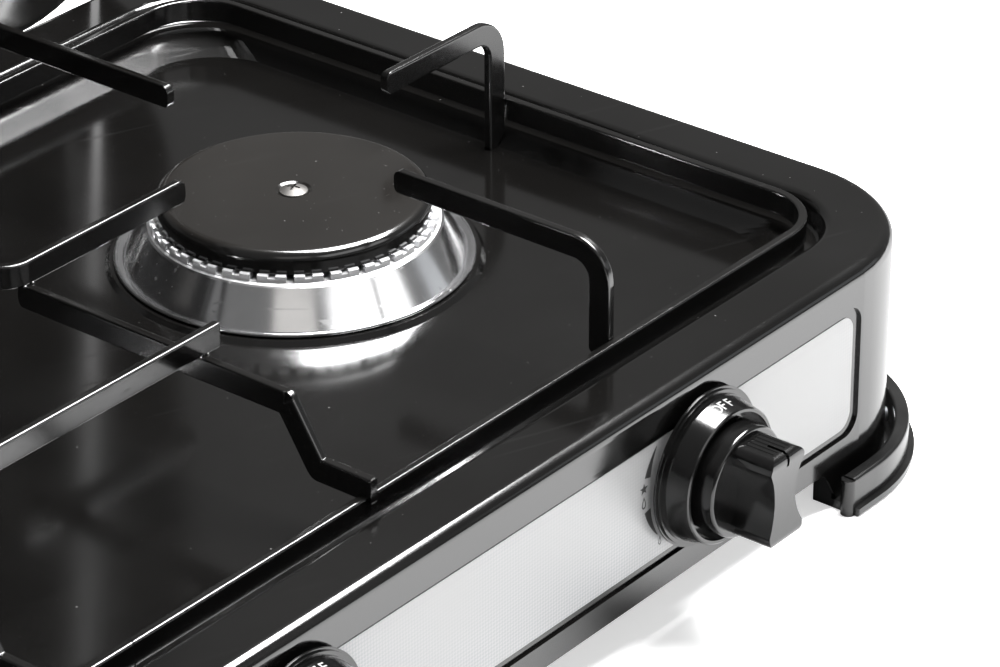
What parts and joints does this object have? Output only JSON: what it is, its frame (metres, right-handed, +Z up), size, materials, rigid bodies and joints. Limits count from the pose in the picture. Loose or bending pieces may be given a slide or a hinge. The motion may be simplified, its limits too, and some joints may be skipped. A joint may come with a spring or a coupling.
{
  "type": "three-burner gas stove",
  "caption": "Table-top gas stove: enamelled body with sunk tray, round toothed burners, bent-bar pan support, front knobs, corner feet and a hinged lid.",
  "frame": {"origin": "on the table plane, under the centre of the box of the whole stove with its lid open", "axes": "+X along the front to the right, +Y from the knobs to the lid, +Z up"},
  "size_m": [0.6734, 0.4196, 0.4031],
  "materials": {
    "black_enamel": "gloss enamel",
    "foot_plastic": "satin",
    "knob_plastic": "gloss",
    "bright_steel": "polished",
    "cast_aluminium": "as cast",
    "zinc_steel": "zinc plated",
    "brass": "machined"
  },
  "bodies": {
    "stove": {"body_shell": "black_enamel", "foot_front_right": "foot_plastic", "foot_front_left": "foot_plastic", "foot_rear_right": "foot_plastic", "foot_rear_left": "foot_plastic", "foot_screws": "zinc_steel", "burner_cup_right": "cast_aluminium", "burner_cup_middle": "cast_aluminium", "burner_cup_left": "cast_aluminium", "burner_ring_right": "bright_steel", "burner_ring_middle": "bright_steel", "burner_ring_left": "bright_steel", "burner_cap_right": "black_enamel", "burner_cap_middle": "black_enamel", "burner_cap_left": "black_enamel", "cap_screws": "bright_steel", "gas_rail": "zinc_steel", "rail_brackets": "zinc_steel", "tap_right": "brass", "tap_middle": "brass", "tap_left": "brass", "tap_covers": "zinc_steel", "tap_clamps": "zinc_steel", "clamp_screws": "zinc_steel", "jets": "brass", "supply_pipe": "zinc_steel", "inlet_nozzle": "brass", "inlet_nut": "brass", "hinge_brackets": "zinc_steel", "hinge_pins": "zinc_steel", "bracket_rivets": "zinc_steel"},
    "pan_support": {"support_frame": "black_enamel", "cross_bar_right": "black_enamel", "cross_bar_left": "black_enamel", "fingers_right": "black_enamel", "fingers_left": "black_enamel", "long_finger_right": "black_enamel", "long_finger_left": "black_enamel", "middle_bar_front": "black_enamel", "middle_bar_rear": "black_enamel"},
    "lid": {"lid": "black_enamel", "lid_straps": "zinc_steel", "strap_rivets": "zinc_steel"},
    "collar_right": {"tap_collar_right": "zinc_steel"},
    "knob_right": {"tap_stem_right": "brass", "knob_right": "knob_plastic"},
    "collar_middle": {"tap_collar_middle": "zinc_steel"},
    "knob_middle": {"tap_stem_middle": "brass", "knob_middle": "knob_plastic"},
    "collar_left": {"tap_collar_left": "zinc_steel"},
    "knob_left": {"tap_stem_left": "brass", "knob_left": "knob_plastic"}
  },
  "joints": [
    {"name": "lid_hinge", "type": "hinge", "parent": "stove", "child": "lid", "pos_m": [0, 0.1583, 0.073], "axis": [1, 0, 0], "range_deg": [0, 90]},
    {"name": "support_lift", "type": "slide", "parent": "stove", "child": "pan_support", "axis": [0, 0, -1], "range_m": [-0.06, 0]},
    {"name": "push_right", "type": "slide", "parent": "stove", "child": "collar_right", "axis": [0, 1, 0], "range_m": [0, 0.002], "stiffness_N_per_m": 800, "springref_m": -0.004},
    {"name": "turn_right", "type": "hinge", "parent": "collar_right", "child": "knob_right", "pos_m": [0.1881, -0.1786, 0.0508], "axis": [0, -1, 0], "range_deg": [0, 140]},
    {"name": "push_middle", "type": "slide", "parent": "stove", "child": "collar_middle", "axis": [0, 1, 0], "range_m": [0, 0.002], "stiffness_N_per_m": 800, "springref_m": -0.004},
    {"name": "turn_middle", "type": "hinge", "parent": "collar_middle", "child": "knob_middle", "pos_m": [0, -0.1786, 0.0508], "axis": [0, -1, 0], "range_deg": [0, 140]},
    {"name": "push_left", "type": "slide", "parent": "stove", "child": "collar_left", "axis": [0, 1, 0], "range_m": [0, 0.002], "stiffness_N_per_m": 800, "springref_m": -0.004},
    {"name": "turn_left", "type": "hinge", "parent": "collar_left", "child": "knob_left", "pos_m": [-0.1881, -0.1786, 0.0508], "axis": [0, -1, 0], "range_deg": [0, 140]}
  ]
}
